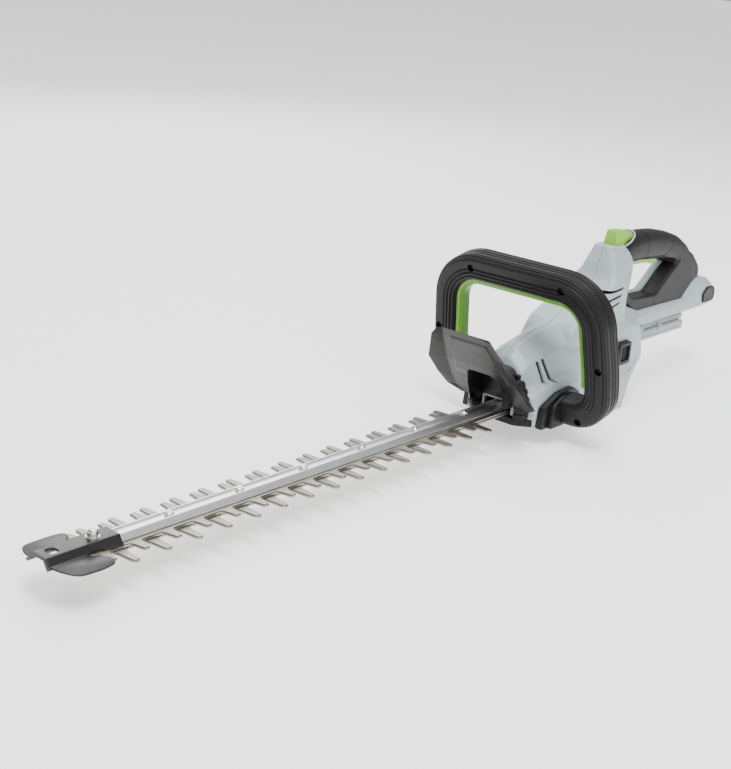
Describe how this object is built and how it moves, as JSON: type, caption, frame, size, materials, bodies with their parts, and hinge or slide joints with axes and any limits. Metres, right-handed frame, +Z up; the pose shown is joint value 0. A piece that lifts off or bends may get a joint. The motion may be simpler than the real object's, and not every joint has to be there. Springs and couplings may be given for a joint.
{
  "type": "hedge trimmer",
  "caption": "Cordless hedge trimmer with twin reciprocating toothed blades on a guide rail, a hand guard, a loop front handle and a D-shaped rear handle.",
  "frame": {"origin": "under the middle of the tool's bounding box, at the level of the housing's lowest face", "axes": "+X from the blade tip to the tail, +Y to the tool's right side, +Z up; the blades lie level"},
  "size_m": [1.181, 0.2566, 0.2315],
  "materials": {
    "grey_plastic": "satin moulded plastic with a very fine grain",
    "black_plastic": "satin charcoal moulded plastic",
    "black_rubber": "soft matte overmould",
    "green_plastic": "semi-gloss moulded plastic",
    "black_steel": "textured black coat on folded steel",
    "blade_steel": "ground and hardened steel",
    "aluminium": "extruded, bright on its bevels",
    "zinc_plate": "bright zinc plate",
    "winding": "enamelled copper winding",
    "circuit_board": "solder mask"
  },
  "bodies": {
    "housing": {"housing_left": "grey_plastic", "housing_right": "grey_plastic", "battery_rail": "grey_plastic", "contact_block": "grey_plastic", "bottom_cover": "black_plastic", "loop_front_shell": "black_plastic", "loop_rear_shell": "black_plastic", "loop_bracket_left": "black_plastic", "loop_bracket_right": "black_plastic", "hand_guard": "black_plastic", "trigger_switch": "black_plastic", "tail_badge": "black_plastic", "guard_mount_left": "black_rubber", "guard_mount_right": "black_rubber", "rear_grip_left": "black_rubber", "rear_grip_right": "black_rubber", "nose_bracket": "black_steel", "loop_screw_1": "black_steel", "loop_screw_2": "black_steel", "loop_screw_3": "black_steel", "loop_screw_4": "black_steel", "loop_screw_5": "black_steel", "gear_axle": "blade_steel", "shaft_bearing": "blade_steel", "trigger_pin": "blade_steel", "lockoff_spring": "blade_steel", "guide_rail": "aluminium", "gearbox_case": "aluminium", "motor_end_cap": "aluminium", "nose_bolt": "zinc_plate", "blade_bolt_1": "zinc_plate", "blade_bolt_2": "zinc_plate", "blade_bolt_3": "zinc_plate", "blade_bolt_4": "zinc_plate", "blade_bolt_5": "zinc_plate", "blade_bolt_6": "zinc_plate", "motor_stator": "winding", "control_board": "circuit_board"},
    "drive_gear": {"drive_gear": "black_steel", "upper_cam": "zinc_plate", "lower_cam": "zinc_plate"},
    "rotor": {"rotor_shaft": "blade_steel", "pinion": "blade_steel", "rotor_core": "black_steel", "cooling_fan": "black_plastic"},
    "upper_blade": {"upper_blade": "blade_steel"},
    "lower_blade": {"lower_blade": "blade_steel"},
    "front_bail": {"front_bail": "green_plastic"},
    "trigger": {"trigger": "green_plastic"},
    "lockoff_button": {"lockoff_button": "green_plastic"},
    "release_button": {"release_button": "black_plastic"}
  },
  "joints": [
    {"name": "drive_gear_spin", "type": "hinge", "parent": "housing", "child": "drive_gear", "pos_m": [0.1585, 0, 0.034], "axis": [0, 0, 1], "range_deg": [-90, 90]},
    {"name": "rotor_spin", "type": "hinge", "parent": "housing", "child": "rotor", "pos_m": [0.196, 0, 0.034], "axis": [0, 0, 1], "range_deg": [-361, 361]},
    {"name": "upper_blade_slide", "type": "slide", "parent": "housing", "child": "upper_blade", "axis": [1, 0, 0], "range_m": [-0.0095, 0.0095]},
    {"name": "lower_blade_slide", "type": "slide", "parent": "housing", "child": "lower_blade", "axis": [1, 0, 0], "range_m": [-0.0095, 0.0095]},
    {"name": "front_bail_squeeze", "type": "slide", "parent": "housing", "child": "front_bail", "axis": [-0.2105, 0, 0.9776], "range_m": [0, 0.004], "stiffness_N_per_m": 1500, "springref_m": -0.002},
    {"name": "trigger_pull", "type": "hinge", "parent": "housing", "child": "trigger", "pos_m": [0.36, 0, 0.194], "axis": [0, 1, 0], "range_deg": [-7, 0], "stiffness_Nm_per_rad": 0.6, "springref_deg": 6.88},
    {"name": "lockoff_press", "type": "slide", "parent": "housing", "child": "lockoff_button", "axis": [0, 0, 1], "range_m": [-0.004, 0], "stiffness_N_per_m": 800, "springref_m": 0.002, "deforming": ["lockoff_spring"]},
    {"name": "battery_release_press", "type": "slide", "parent": "housing", "child": "release_button", "axis": [0, 1, 0], "range_m": [0, 0.003], "stiffness_N_per_m": 900, "springref_m": -0.002}
  ],
  "couplings": [
    {"joint": "rotor_spin", "follows": "drive_gear_spin", "ratio": -4},
    {"joint": "upper_blade_slide", "follows": "drive_gear_spin", "m_per_rad": -0.006042},
    {"joint": "lower_blade_slide", "follows": "drive_gear_spin", "m_per_rad": 0.006042}
  ]
}
